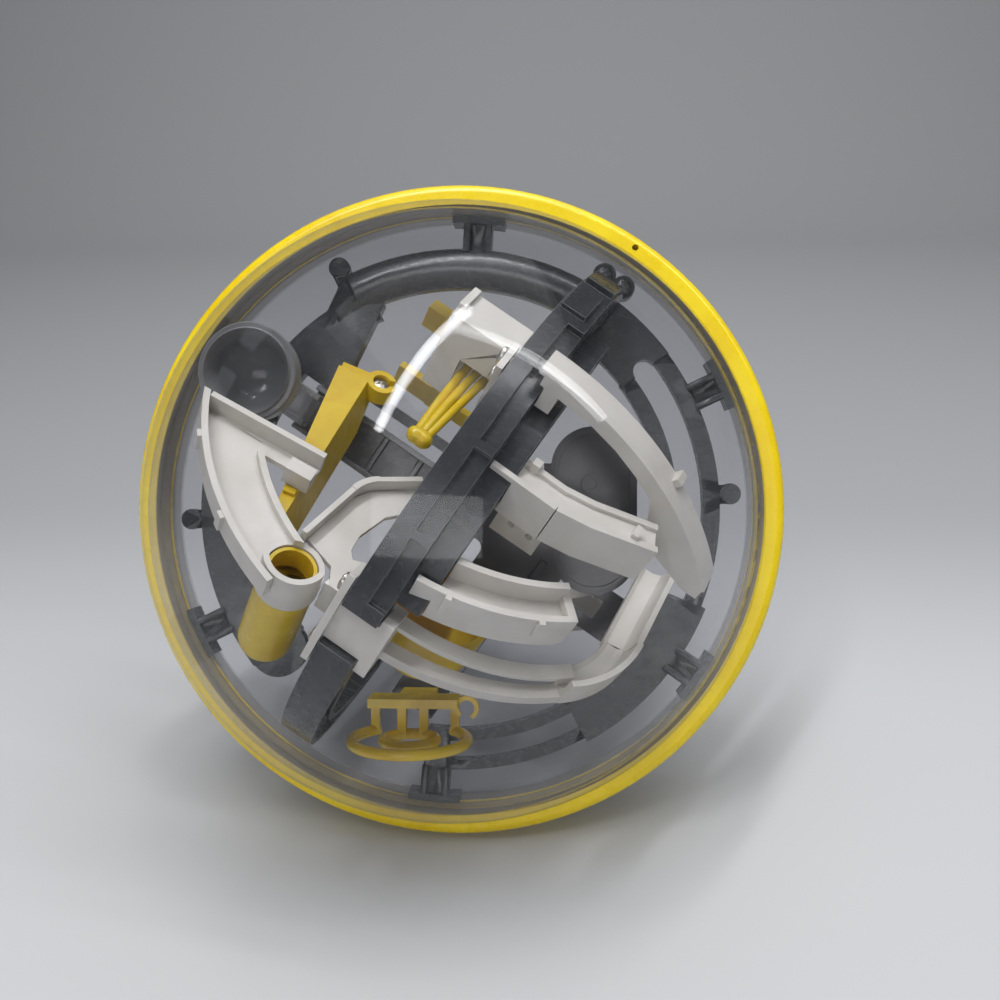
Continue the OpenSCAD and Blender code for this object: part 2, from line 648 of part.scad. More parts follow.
module twin_rails() color(white) stand() difference() {
    union() {
        maze() {
            translate([rail_c.x, rail_c.y, 0]) {
                translate([0, 0, rail1_z]) rotate([rail_slope, 0, 0])
                    arc_band(rail1_r - rail_w, rail1_r, -wall, 0, 180, 227);
                arc_band(rail2_r - rail_w, rail2_r, rail2_z - 3.4, rail2_z, 180, 224.8);
            }
            // curved trough where the rails end
            translate([trough_c.x, trough_c.y, rail2_z - 0.4]) rotate([0, 0, 221])
                rotate_extrude(angle = 49) translate([trough_r, 0]) rail_section();
            translate([trough_c.x - 0.5, trough_c.y - trough_r + 0.3, rail2_z - 0.7]) rotate([90, 0, 90])
                linear_extrude(30) mirror([1, 0]) rail_section();
            // small gusset under the end of the upper rail
            translate([rail_c.x, rail_c.y, 0])
                arc_band(rail1_r - rail_w + 0.2, rail1_r - 0.4, rail2_z - 0.8, rail1_z - 5, 223, 226.5);
        }
        about_y() {
            // root block beside the arch, strap through the slot and clip on the far side
            arc_band(arch_in - 2, arch_r - 2, arch_right, arch_right + 3.4, notch_a[0] - 1, notch_a[1] + 2.5);
            arc_band(arch_r - notch_depth + fit, arch_r - 2, -flange_y0 - flange_t, arch_right + 3,
                notch_a[0] + 0.4, notch_a[1] - 0.4);
            arc_band(arch_in + 0.5, arch_r, -flange_y0 - flange_t, -flange_y0, notch_a[0] - 5.5, notch_a[1] + 5.5);
        }
    }
    difference() {
        arch_body(fit);
        about_y() arc_band(arch_r - notch_depth + fit, arch_r + 3, -20, 20, notch_a[0] + 0.4, notch_a[1] - 0.4);
    }
    for (at = clip_screws) on_arch_side(at, flange_y0) translate([0, 0, -1]) cylinder(d = screw_d + fit, h = 6);
}

// What the arm's sloping side takes off: the top narrows towards the lower end, and the side flares to the base.
module arm_flank(g, top) translate([0, 0.3 * bar_w - g, top]) rotate([0, 0, -6.6]) rotate([17.5, 0, 0])
    translate([-20, 0, -30]) cube([100, 30, 60]);

module yellow_arm() color(yellow) stand() maze() {
    a = [4, 43.5];
    b = [-49, 27.5];
    turn = atan2(b.y - a.y, b.x - a.x);
    z0 = arm_z0;
    z1 = arm_z1;
    difference() {
        translate([a.x, a.y, z0]) rotate([0, 0, turn]) difference() {
            union() {
                translate([0, -bar_w / 2, 0]) cube([norm(b - a), bar_w, z1 - z0]);
                // lower step by the hook
                translate([-3.6, -bar_w / 2 + 0.7, 2]) cube([5, bar_w - 2.4, z1 - z0 - 3.7]);
            }
            arm_flank(0, z1 - z0);
            difference() {
                translate([wall, -bar_w / 2 + wall, -1]) cube([42, bar_w - 2 * wall, z1 - z0 + 1 - wall]);
                arm_flank(1.25 * wall, z1 - z0);
            }
        }
        // room for the scoop
        arc_band(scoop_r - scoop_w - fit, 90, 0, 60, 118, 170);
    }
    // small lug near the lower end
    translate([a.x, a.y, z1 - 0.5]) rotate([0, 0, turn]) translate([47, -bar_w / 2 + 0.2, 0]) cube([1.6, 3, 1.5]);
    // open hook round the screw
    translate([hook_pos.x, hook_pos.y, z1 - 5]) difference() {
        cylinder(r = 4.2, h = 5);
        translate([0, 0, -1]) cylinder(d = screw_d + fit, h = 8);
        translate([0, 0, 3]) cylinder(d = head_d + 2 * fit, h = 8);
        rotate([0, 0, -60]) translate([1, -1.2, 3]) cube([6, 2.4, 4]);
    }
}

module rod_bridge() color(yellow) stand() maze() {
    z = box_z0 + 7;
    x0 = -35;
    for (i = [0:2]) translate([x0, flange_y0 + 4.6 + 2.7 * i, z]) rotate([0, 90, 0]) cylinder(d = rod_d, h = -x0 - 3.2);
    translate([x0, flange_y0 + 3.5, z]) rotate([-90, 0, 0]) cylinder(d = rod_d + 0.8, h = 7.6);
    // plate that holds the rods against the far wall of the box
    block([-4, flange_y0 + 3, z - 5], [-3, flange_y0 + 11.5, z + 4]);
}

// Two flat loops that hang from a strip on four bars, in the upright ring frame.
module spiral_hook() color(yellow) stand() rotate([0, 0, -roll]) translate(spiral_pos) rotate([-90, 0, 0]) {
    r = (loop_d - loop_t) / 2;
    gap = 42;
    bar_h = 8.5;
    bar = loop_t * 0.4;
    rotate([0, 0, 90 + gap]) rotate_extrude(angle = 360 - 2 * gap) translate([r, 0]) circle(d = loop_t);
    rotate_extrude() translate([r * 0.45, 0]) circle(d = loop_t);
    for (s = [-1, 1]) {
        x = s * r * sin(gap + 4);
        y = r * cos(gap + 4);
        block([x - bar, y - bar, 0], [x + bar, y + bar, bar_h + 1]);
        block([s * 3 - bar, r * 0.4 - bar, 0], [s * 3 + bar, r * 0.4 + bar, bar_h + 1]);
    }
    block([-r * sin(gap) - 2, 4.2, bar_h - 1], [r * sin(gap) + 2, 13, bar_h + 1.5]);
    // tongue that lies on the beam behind
    block([-5, 12, bar_h - 0.8], [5, spiral_pos.z - core_z[1] - fit, bar_h + 1.2]);
    // open clip at the right end of the strip
    translate([r * sin(gap) + 4.2, 9, bar_h - 1.5]) rotate([90, 0, 0])
        rotate([0, 0, -60]) rotate_extrude(angle = 290) translate([2.2, -1.2]) square([1.2, 2.4]);
}

module half_tub() color(yellow) stand() difference() {
    maze() translate([tub_pos.x, tub_pos.y, 0]) pocket(tub_r, tub_r - wall, tub_z0, tub_z1);
    arch_body(fit);
}

module boss_screws() color(steel) stand() for (s = [-1, 1])
    translate([boss_r, s * boss_y, frame_front]) screw(4.5);

module track_screws() color(steel) stand() for (at = concat(flange_screws, clip_screws))
    on_arch_side(at, flange_y0 + flange_t) screw(7);

module arm_screw() color(steel) stand() maze() translate([hook_pos.x, hook_pos.y, 17.6]) screw(5);

// Room that the rear arch needs.
module rear_arch_room() about_y() {
    arc_band(arch_in - fit, arch_r + fit, -arch_left - fit + 0.05, arch_right + fit, 190, 358);
    arc_band(step_r[0] - fit, step_r[1] + fit, -arch_left - step_w - fit, -arch_left, 194, 289.5);
}

module rear_channel() color(white) stand() difference() {
    rotate([180, 0, 0]) maze() {
        arc_band(rear_r - 12, rear_r, rear_z - wall, rear_z, 115, 180);
        arc_band(rear_r - wall, rear_r, rear_z - 5, rear_z + 5, 115, 180);
        arc_band(rear_r - 12, rear_r - 12 + wall, rear_z - 3, rear_z + 4, 115, 180);
        for (i = [128, 150]) arc_band(rear_r - 1, rear_r + 1, rear_z - 3, rear_z + 3, i, i + 1.4);
    }
    block([-90, -arch_right - fit, -90], [90, 90, 90]);
}

module rear_chute() color(yellow) stand() difference() {
    rotate([180, 0, 0]) maze() difference() {
        union() {
            block([-20, -33, 47.5], [18, -26, 51]);
            block([10, -44, 46], [18, -30, 51]);
            block([-20, -46, 48], [-12, -30, 51]);
            block([-20, -30, 48.3], [-14, -8, 51]);
            block([-18, -12, 48.6], [-14, -arch_left - fit, 69]);
        }
        block([-20 + wall, -33 + wall, 47.5 + wall], [18 - wall, -26 - wall, 52]);
    }
    rear_arch_room();
}

equator_ring();
front_dome();
rear_dome();
mid_frame();
start_bowl();
start_trough();
centre_plate();
cover_plate();
front_arch();
rear_arch();
scoop_track();
drop_tube();
ramp_plate();
box_chute();
crescent_track();
arm_track();
channel_track();
twin_rails();
yellow_arm();
rod_bridge();
spiral_hook();
half_tub();
boss_screws();
track_screws();
arm_screw();
steel_ball();
rear_channel();
rear_chute();
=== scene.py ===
import json
import math
import bmesh
import bpy
import numpy as np
from mathutils import Matrix, Vector


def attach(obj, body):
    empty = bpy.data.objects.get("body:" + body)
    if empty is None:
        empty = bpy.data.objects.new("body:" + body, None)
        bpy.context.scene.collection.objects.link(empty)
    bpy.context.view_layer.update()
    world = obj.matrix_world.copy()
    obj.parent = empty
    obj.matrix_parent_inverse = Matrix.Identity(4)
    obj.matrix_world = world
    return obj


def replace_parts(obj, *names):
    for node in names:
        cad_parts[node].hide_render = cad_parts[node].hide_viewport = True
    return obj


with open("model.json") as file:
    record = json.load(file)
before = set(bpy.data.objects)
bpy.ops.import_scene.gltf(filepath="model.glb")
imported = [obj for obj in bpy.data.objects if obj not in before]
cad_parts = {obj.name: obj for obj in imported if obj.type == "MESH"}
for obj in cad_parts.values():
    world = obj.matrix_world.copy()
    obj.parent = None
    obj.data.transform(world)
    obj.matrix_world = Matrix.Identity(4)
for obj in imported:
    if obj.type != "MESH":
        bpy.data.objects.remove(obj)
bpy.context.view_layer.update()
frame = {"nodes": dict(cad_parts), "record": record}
print("frame loaded:", len(frame["nodes"]), "nodes")

# where the ball stands, as in the CAD: height of its middle in millimetres, and in degrees the lean of the
# ring, the roll of the maze in the ring and the tilt of the tracks
stance = {"centreHeight": 85.9, "lean": 23.6275, "roll": 55.5, "tilt": 45.0}


def turned(axis, degrees):  # 3x3 turn about one axis
    return np.array(Matrix.Rotation(math.radians(degrees), 3, axis))


uprightTurn = turned("X", 90 - stance["lean"])  # x right, y up the ring, z out of the front
ringTurn = uprightTurn @ turned("Z", stance["roll"])  # x along the arch
mazeTurn = ringTurn @ turned("Y", stance["tilt"])  # z square to the track floors


def placed(points, turn):  # millimetres in one of the three frames above, to metres in the world
    return (np.asarray(points, float) @ turn.T + [0, 0, stance["centreHeight"]]) * 0.001


def unplaced(points, turn):  # metres in the world, to millimetres in one of the three frames
    return (points * 1000 - [0, 0, stance["centreHeight"]]) @ turn


def linear(hexColour):  # sRGB hex to linear RGBA
    rgb = np.array([int(hexColour[i:i + 2], 16) for i in (1, 3, 5)]) / 255
    low = rgb <= 0.04045
    return (*np.where(low, rgb / 12.92, ((rgb + 0.055) / 1.055) ** 2.4), 1.0)


def addNode(tree, kind, settings=None, links=None):  # one node with its settings and what feeds it
    node = tree.nodes.new(kind)
    for key, value in (settings or {}).items():
        if isinstance(key, str) and hasattr(node, key):
            setattr(node, key, value)
        else:
            node.inputs[key].default_value = value
    for key, source in (links or {}).items():
        tree.links.new(source, node.inputs[key])
    return node


def addRamp(tree, factor, stops):  # colour ramp through (position, hex colour) stops
    ramp = addNode(tree, "ShaderNodeValToRGB", None, {"Fac": factor})
    marks = ramp.color_ramp.elements
    for mark, (position, colour) in zip(marks, (stops[0], stops[-1])):
        mark.position = position
        mark.color = linear(colour)
    for position, colour in stops[1:-1]:
        marks.new(position).color = linear(colour)
    return ramp


def startMaterial(name):  # empty tree with an output, and the place on the object
    material = bpy.data.materials.new(name)
    material.use_nodes = True
    tree = material.node_tree
    tree.nodes.clear()
    output = addNode(tree, "ShaderNodeOutputMaterial")
    return material, tree, output, addNode(tree, "ShaderNodeTexCoord").outputs["Object"]


# moulded styrene plastics: dyed through, so colour drifts only a little with the melt flow;
# the tool's spark-eroded skin gives a fine orange peel, and handling leaves faint rub marks
skinDetail = {"speckScale": 1500.0, "speckDepth": 0.00003, "rubScale": 220.0, "rubStretch": 3.0,
              "rubStrength": 0.03, "rubDepth": 0.00005, "glossBelow": 0.04, "glossAbove": 0.06,
              "scatterDepth": 0.002}


def mouldedPlastic(name, look):
    material, tree, output, place = startMaterial(name)
    flow = addNode(tree, "ShaderNodeTexNoise", {"Scale": look["flowScale"], "Detail": 3.0, "Roughness": 0.6,
                   "Distortion": 0.6}, {"Vector": place})  # melt flow clouds, about 15 to 30 mm
    speck = addNode(tree, "ShaderNodeTexNoise", {"Scale": skinDetail["speckScale"], "Detail": 2.0},
                    {"Vector": place})  # 0.7 mm skin
    rub = addNode(tree, "ShaderNodeMapping", {"Rotation": (0.4, 0.9, 0.3),
                  "Scale": (1.0, skinDetail["rubStretch"], 1.0)}, {"Vector": place})  # rub marks run one way
    rubNoise = addNode(tree, "ShaderNodeTexNoise", {"Scale": skinDetail["rubScale"], "Detail": 4.0,
                       "Roughness": 0.7}, {"Vector": rub.outputs[0]})
    colour = addRamp(tree, flow.outputs["Fac"], ((0.3, look["deep"]), (0.7, look["pale"])))
    gloss = addNode(tree, "ShaderNodeMapRange", {"From Min": 0.3, "From Max": 0.75,
                    "To Min": look["rough"] - skinDetail["glossBelow"],
                    "To Max": look["rough"] + skinDetail["glossAbove"]}, {"Value": rubNoise.outputs["Fac"]})
    skin = addNode(tree, "ShaderNodeBump", {"Strength": look["peel"], "Distance": skinDetail["speckDepth"]},
                   {"Height": speck.outputs["Fac"]})
    scuff = addNode(tree, "ShaderNodeBump", {"Strength": skinDetail["rubStrength"],
                    "Distance": skinDetail["rubDepth"]},
                    {"Height": rubNoise.outputs["Fac"], "Normal": skin.outputs[0]})
    shader = addNode(tree, "ShaderNodeBsdfPrincipled", {"IOR": look["ior"],
                     "Subsurface Weight": look["scatter"], "Subsurface Radius": look["scatterRadius"],
                     "Subsurface Scale": skinDetail["scatterDepth"]},
                     {"Base Color": colour.outputs[0], "Roughness": gloss.outputs[0],
                      "Normal": scuff.outputs[0]})
    tree.links.new(shader.outputs[0], output.inputs["Surface"])
    return material


opaque = {"scatter": 0.0, "scatterRadius": (1.0, 1.0, 1.0)}  # no light goes into these plastics
plastics = {
    "ring_yellow": ("mouldedYellowAbs", {"deep": "#e3c104", "pale": "#f0d518", "rough": 0.28, "peel": 0.12,
                    "ior": 1.52, "flowScale": 45.0, **opaque}),
    "track_yellow": ("amberYellowStyrene", {"deep": "#cda806", "pale": "#e0c42c", "rough": 0.24,
                     "peel": 0.12, "ior": 1.57, "flowScale": 60.0, "scatter": 0.25,
                     "scatterRadius": (1.0, 0.7, 0.1)}),
    "charcoal": ("charcoalAbs", {"deep": "#303235", "pale": "#3c3f42", "rough": 0.26, "peel": 0.1,
                 "ior": 1.52, "flowScale": 50.0, **opaque}),
    "black": ("blackGlossStyrene", {"deep": "#242527", "pale": "#313234", "rough": 0.2, "peel": 0.1,
              "ior": 1.57, "flowScale": 50.0, **opaque}),
    "wornEdge": ("rubbedCharcoalAbs", {"deep": "#5c5f62", "pale": "#8d9092", "rough": 0.4, "peel": 0.2,
                 "ior": 1.52, "flowScale": 120.0, **opaque}),
    "trough": ("smokeGreyStyrene", {"deep": "#68696c", "pale": "#797a7d", "rough": 0.26, "peel": 0.1,
               "ior": 1.57, "flowScale": 50.0, **opaque}),
    "white": ("offWhiteStyrene", {"deep": "#cbc7bf", "pale": "#dad7d1", "rough": 0.36, "peel": 0.15,
              "ior": 1.57, "flowScale": 55.0, "scatter": 0.2, "scatterRadius": (1.0, 0.9, 0.8)}),
}
materials = {slot: mouldedPlastic(*entry) for slot, entry in plastics.items()}


# clear styrene shell: a mirror skin whose share rises towards the edge of sight, over a faintly smoky body;
# handling leaves a web of hairline scratches, and a pale beige band just past the ring's face is a painted
# reflection of the pale room seen at the rim
def clearShell(name, look):
    material, tree, output, place = startMaterial(name)
    hairs = None
    for turnAngles, scale in look["hairlines"]:
        lay = addNode(tree, "ShaderNodeMapping", {"Rotation": turnAngles,
                      "Scale": (1.0, look["hairStretch"], 1.0)}, {"Vector": place})
        field = addNode(tree, "ShaderNodeTexNoise", {"Scale": scale, "Detail": 1.0, "Distortion": 0.4},
                        {"Vector": lay.outputs[0]})
        line = addNode(tree, "ShaderNodeMapRange", {"From Min": look["hairBand"][0],
                       "From Max": look["hairBand"][1]}, {"Value": field.outputs["Fac"]})
        hairs = line if hairs is None else addNode(tree, "ShaderNodeMath", {"operation": "MAXIMUM"},
                                                   {0: hairs.outputs[0], 1: line.outputs[0]})
    facing = addNode(tree, "ShaderNodeLayerWeight", {"Blend": 0.5}).outputs["Facing"]  # one minus the cosine
    edge = addNode(tree, "ShaderNodeMath", {"operation": "POWER", 1: look["edgePower"]}, {0: facing})
    veil = addNode(tree, "ShaderNodeMath", {"operation": "MULTIPLY_ADD", 1: look["edgeMirror"],
                   2: look["mirror"]}, {0: edge.outputs[0]})  # mirror share as the shell turns edge on
    share = addNode(tree, "ShaderNodeMath", {"operation": "MULTIPLY_ADD", 1: look["scratch"],
                    "use_clamp": True}, {0: hairs.outputs[0], 2: veil.outputs[0]})
    gloss = addNode(tree, "ShaderNodeMapRange", {"To Min": look["rough"], "To Max": look["scratchRough"]},
                    {"Value": hairs.outputs[0]})
    through = addNode(tree, "ShaderNodeBsdfTransparent", {"Color": linear(look["tint"])})
    skin = addNode(tree, "ShaderNodeBsdfPrincipled", {"Base Color": linear(look["skin"]), "Metallic": 1.0},
                   {"Roughness": gloss.outputs[0]})
    whole = addNode(tree, "ShaderNodeMixShader", None,
                    {0: share.outputs[0], 1: through.outputs[0], 2: skin.outputs[0]})
    ringAxis = uprightTurn[:, 2]
    rise = addNode(tree, "ShaderNodeVectorMath", {"operation": "DOT_PRODUCT", 1: tuple(ringAxis)},
                   {0: place})
    level = addNode(tree, "ShaderNodeMath", {"operation": "SUBTRACT",
                    1: float(ringAxis[2]) * 0.001 * stance["centreHeight"]}, {0: rise.outputs["Value"]})
    height = addNode(tree, "ShaderNodeMath", {"operation": "ABSOLUTE"},
                     {0: level.outputs[0]})  # from the ring's plane
    # painted reflection: a pale beige band mixed onto the shell by height from the ring's plane, just past
    # the ring's face
    band = addNode(tree, "ShaderNodeMapRange", {"From Min": look["rimBand"][0],
                   "From Max": look["rimBand"][1], "To Min": look["rimPaintedReflection"], "To Max": 0.0},
                   {"Value": height.outputs[0]})
    paintedRimReflection = addNode(tree, "ShaderNodeBsdfPrincipled", {"Base Color": linear(look["rimReflectionColour"]),
                   "Roughness": look["rimRough"]})
    rimmed = addNode(tree, "ShaderNodeMixShader", None,
                     {0: band.outputs[0], 1: whole.outputs[0], 2: paintedRimReflection.outputs[0]})
    tree.links.new(rimmed.outputs[0], output.inputs["Surface"])
    return material


# a hairline family is a turn of its direction and a scale
clearLook = {"tint": "#f7f7f8", "skin": "#f4f5f6", "mirror": 0.012, "edgeMirror": 0.45, "edgePower": 5.0,
             "rough": 0.03, "scratch": 0.015, "scratchRough": 0.4, "hairStretch": 30.0,
             "hairBand": (0.76, 0.82), "hairlines": (((0.3, 0.2, 0.9), 70.0), ((1.1, 0.7, 2.2), 95.0)),
             "rimBand": (0.006, 0.0085), "rimPaintedReflection": 0.62, "rimReflectionColour": "#98928b", "rimRough": 0.4}
materials["clear"] = clearShell("clearStyrene", clearLook)


# smoky clear styrene of the start bowl: about half grey dye, half see-through; walls seen edge on are painted
# paler in the base colour, a painted sheen
def smokyShell(name, look):
    material, tree, output, place = startMaterial(name)
    cloud = addNode(tree, "ShaderNodeTexNoise", {"Scale": look["cloudScale"], "Detail": 3.0},
                    {"Vector": place})
    share = addNode(tree, "ShaderNodeMapRange", {"To Min": look["dye"] - look["cloud"],
                    "To Max": look["dye"] + look["cloud"]}, {"Value": cloud.outputs["Fac"]})
    facing = addNode(tree, "ShaderNodeLayerWeight", {"Blend": 0.5}).outputs["Facing"]
    # painted sheen: the body colour runs from grey where the wall faces the view to pale where it is seen
    # edge on
    bodyWithPaintedSheen = addRamp(tree, facing, ((0.35, look["colour"]), (0.95, look["edge"])))
    body = addNode(tree, "ShaderNodeBsdfPrincipled", {"Roughness": look["rough"], "IOR": look["ior"]},
                   {"Base Color": bodyWithPaintedSheen.outputs[0]})
    through = addNode(tree, "ShaderNodeBsdfTransparent", {"Color": linear(look["tint"])})
    whole = addNode(tree, "ShaderNodeMixShader", None,
                    {0: share.outputs[0], 1: through.outputs[0], 2: body.outputs[0]})
    tree.links.new(whole.outputs[0], output.inputs["Surface"])
    return material


# edge is the pale colour of the painted sheen on walls seen edge on
smokeLook = {"colour": "#929395", "edge": "#e2e3e4", "tint": "#d6d7d9", "rough": 0.12, "ior": 1.57,
             "dye": 0.48, "cloud": 0.06, "cloudScale": 90.0}
materials["smoke"] = smokyShell("smokyClearStyrene", smokeLook)


# turned metals: zinc plating is dull and slightly warm, blackened steel is darker, the ball is polished
def turnedMetal(name, look):
    material, tree, output, place = startMaterial(name)
    grain = addNode(tree, "ShaderNodeTexNoise", {"Scale": look["grain"], "Detail": 3.0}, {"Vector": place})
    colour = addRamp(tree, grain.outputs["Fac"], ((0.0, look["deep"]), (1.0, look["pale"])))
    gloss = addNode(tree, "ShaderNodeMapRange", {"To Min": look["rough"] * 0.7,
                    "To Max": look["rough"] * 1.4}, {"Value": grain.outputs["Fac"]})
    bump = addNode(tree, "ShaderNodeBump", {"Strength": look["bump"], "Distance": 0.00005},
                   {"Height": grain.outputs["Fac"]})
    shader = addNode(tree, "ShaderNodeBsdfPrincipled", {"Metallic": 1.0}, {"Base Color": colour.outputs[0],
                     "Roughness": gloss.outputs[0], "Normal": bump.outputs[0]})
    tree.links.new(shader.outputs[0], output.inputs["Surface"])
    return material


metals = {
    "screw_steel": ("zincPlatedSteel", {"deep": "#a8a49a", "pale": "#d6d3cc", "rough": 0.3, "bump": 0.2,
                    "grain": 1800.0}),
    "darkScrew": ("blackenedSteel", {"deep": "#3d3e40", "pale": "#77787a", "rough": 0.42, "bump": 0.35,
                  "grain": 1500.0}),
    "ball_steel": ("polishedSteel", {"deep": "#c4c6ca", "pale": "#dfe0e3", "rough": 0.07, "bump": 0.02,
                   "grain": 900.0}),
}
for metalSlot, entry in metals.items():
    materials[metalSlot] = turnedMetal(*entry)
print("materials made:", len(materials))

slotOf = {s["node"]: s["material_slot"] for s in frame["record"]["subparts"]}


def finishPiece(name, mesh, slot, look=None):  # its look is its slot's material, or another one by name
    mesh.polygons.foreach_set("use_smooth", np.ones(len(mesh.polygons), bool))
    mesh.materials.clear()
    mesh.materials.append(materials[look or slot])
    piece = bpy.data.objects.new(name, mesh)
    bpy.context.scene.collection.objects.link(piece)
    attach(piece, "sphere")
    return piece


def gridFaces(rows, columns, wrapRows=False, wrapColumns=False):  # quads of a grid, rows by columns
    r = np.arange(rows if wrapRows else rows - 1)
    c = np.arange(columns if wrapColumns else columns - 1)
    r, c = np.meshgrid(r, c, indexing="ij")
    r1, c1 = (r + 1) % rows, (c + 1) % columns
    quads = np.stack([r * columns + c, r1 * columns + c, r1 * columns + c1, r * columns + c1], -1)
    return quads.reshape(-1, 4)


def closedMesh(name, points, faces):  # poles and seams merged, faces outwards
    mesh = bpy.data.meshes.new(name)
    mesh.from_pydata(points, [], faces.tolist())
    tidy = bmesh.new()
    tidy.from_mesh(mesh)
    bmesh.ops.remove_doubles(tidy, verts=tidy.verts, dist=1e-7)
    bmesh.ops.dissolve_degenerate(tidy, edges=tidy.edges, dist=1e-8)
    bmesh.ops.recalc_face_normals(tidy, faces=tidy.faces)
    tidy.to_mesh(mesh)
    tidy.free()
    return mesh


# a closed outline of (radius, height) pairs turned round the z axis; points on the axis meet in one pole
def turnedPiece(name, outline, steps, turn, slot):
    angle = np.linspace(0, 2 * np.pi, steps, endpoint=False)
    x = outline[None, :, 0] * np.cos(angle)[:, None]
    y = outline[None, :, 0] * np.sin(angle)[:, None]
    z = np.broadcast_to(outline[None, :, 1], x.shape)
    points = placed(np.stack([x, y, z], -1).reshape(-1, 3), turn)
    return finishPiece(name, closedMesh(name, points, gridFaces(steps, len(outline), True, True)), slot)


# a round bar along a path: a ring of points square to the path at each step, its radius given step by step
def barPoints(path, radius, steps):
    along = np.gradient(path, axis=0)
    along /= np.linalg.norm(along, axis=1, keepdims=True)
    side = np.cross(along, [0.0, 0.0, 1.0])
    side /= np.linalg.norm(side, axis=1, keepdims=True)
    top = np.cross(side, along)
    angle = np.linspace(0, 2 * np.pi, steps, endpoint=False)
    hoop = np.cos(angle)[None, :, None] * side[:, None, :] + np.sin(angle)[None, :, None] * top[:, None, :]
    return (path[:, None, :] + radius[:, None, None] * hoop).reshape(-1, 3)


# the ring's section is a rectangle with rounded corners: its normal points away from the nearest place in
# the rectangle's core, and the walls that face the axis point at the axis; faces that fit neither, such as
# those in the vent hole, keep their own normal, so the thin faces round the hole don't show
ringSection = {"outer": 92.0, "half": 6.0, "round": 2.5, "likeness": 0.93}


def ringNormals(mesh):
    corner = np.empty(len(mesh.loops), int)
    mesh.loops.foreach_get("vertex_index", corner)
    spot = np.empty(len(mesh.vertices) * 3)
    mesh.vertices.foreach_get("co", spot)
    spot = unplaced(spot.reshape(-1, 3)[corner], ringTurn)
    sides = np.empty(len(mesh.polygons), int)
    mesh.polygons.foreach_get("loop_total", sides)
    normal = np.empty(len(mesh.polygons) * 3)
    mesh.polygons.foreach_get("normal", normal)
    normal = np.repeat(normal.reshape(-1, 3), sides, axis=0)
    reach = np.hypot(spot[:, 0], spot[:, 1])
    outward = np.stack([spot[:, 0] / reach, spot[:, 1] / reach, np.zeros(len(reach))], -1)
    core = ringSection["half"] - ringSection["round"]
    away = outward * np.maximum(reach - ringSection["outer"] + ringSection["round"], 0)[:, None]
    away[:, 2] = spot[:, 2] - np.clip(spot[:, 2], -core, core)
    away /= np.maximum(np.linalg.norm(away, axis=1, keepdims=True), 1e-6)
    for guess in (away @ ringTurn.T, -outward @ ringTurn.T):
        near = np.sum(guess * normal, axis=1) > ringSection["likeness"]
        normal[near] = guess[near]
    mesh.normals_split_custom_set(normal)


# merged copy of a CAD node with its sharp edges rounded, as a moulding tool leaves them; a radius of 0 keeps
# them crisp, and worn names the material of the rounded edges where they are rubbed
edgeStyle = {"weld": 2e-6, "sliver": 1e-6, "flatAngle": 0.6, "sharpAngle": 32.0, "segments": 2}


def softened(node, radius, look=None, worn=None, normals=None):
    words = node.split("_")
    name = words[0] + "".join(word.capitalize() for word in words[1:]) + "Moulding"
    mesh = bpy.data.meshes.new(name)
    tidy = bmesh.new()
    tidy.from_mesh(frame["nodes"][node].data)
    bmesh.ops.remove_doubles(tidy, verts=tidy.verts, dist=edgeStyle["weld"])
    if radius:
        bmesh.ops.dissolve_degenerate(tidy, edges=tidy.edges, dist=edgeStyle["sliver"])
        bmesh.ops.dissolve_limit(tidy, angle_limit=math.radians(edgeStyle["flatAngle"]), verts=tidy.verts,
                                 edges=tidy.edges)
    tidy.to_mesh(mesh)
    tidy.free()
    piece = finishPiece(name, mesh, slotOf[node], look)
    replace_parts(piece, node)
    if radius:
        bevel = piece.modifiers.new("mouldedEdge", "BEVEL")
        bevel.width = radius * 0.001
        bevel.segments = edgeStyle["segments"]
        bevel.limit_method = "ANGLE"
        bevel.angle_limit = math.radians(edgeStyle["sharpAngle"])
        bevel.harden_normals = True
        if worn:
            mesh.materials.append(materials[worn])
            bevel.material = 1
    else:  # smooth between the crisp edges
        mesh.set_sharp_from_angle(angle=math.radians(edgeStyle["sharpAngle"]))
    if normals:
        normals(mesh)
    else:
        piece.modifiers.new("flatShading", "WEIGHTED_NORMAL").keep_sharp = True


# clear domes: outer and inner hemisphere joined by a flat rim
dome = {"outer": 86.0, "wall": 2.0, "rim": 0.75, "rings": 70, "steps": 200}


def onFloor(piece):  # the rear dome is flat where it rests
    heights = np.empty(len(piece.data.vertices) * 3)
    piece.data.vertices.foreach_get("co", heights)
    heights[2::3] = np.maximum(heights[2::3], 0)
    piece.data.vertices.foreach_set("co", heights)
    return piece


def domeShell(name, side):  # side is 1 for the front and -1 for the rear
    inner = dome["outer"] - dome["wall"]
    up = np.linspace(math.asin(dome["rim"] / dome["outer"]), np.pi / 2, dome["rings"])
    down = np.linspace(np.pi / 2, math.asin(dome["rim"] / inner), dome["rings"])
    outside = np.stack([dome["outer"] * np.cos(up), dome["outer"] * np.sin(up)], -1)
    inside = np.stack([inner * np.cos(down), inner * np.sin(down)], -1)
    return turnedPiece(name, np.vstack([outside, inside]) * [1, side], dome["steps"], ringTurn, "clear")


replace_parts(domeShell("frontDomeShell", 1), "front_dome")
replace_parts(onFloor(domeShell("rearDomeShell", -1)), "rear_dome")
print("domes made")

# rod bridge: three bars that leave the box side by side and run together in a round tip at the lower end
bridge = {"from": -3.4, "to": -36.0, "middle": 11.9, "spread": 2.7, "closing": 0.62, "closingPower": 1.6,
          "height": 54.0, "bow": 1.6, "outerBow": 0.7, "radius": 1.1, "tipRadius": 2.1, "tipLength": 5.6,
          "tipBow": 1.2, "lengthSteps": 90, "tipSteps": 40, "roundSteps": 28}


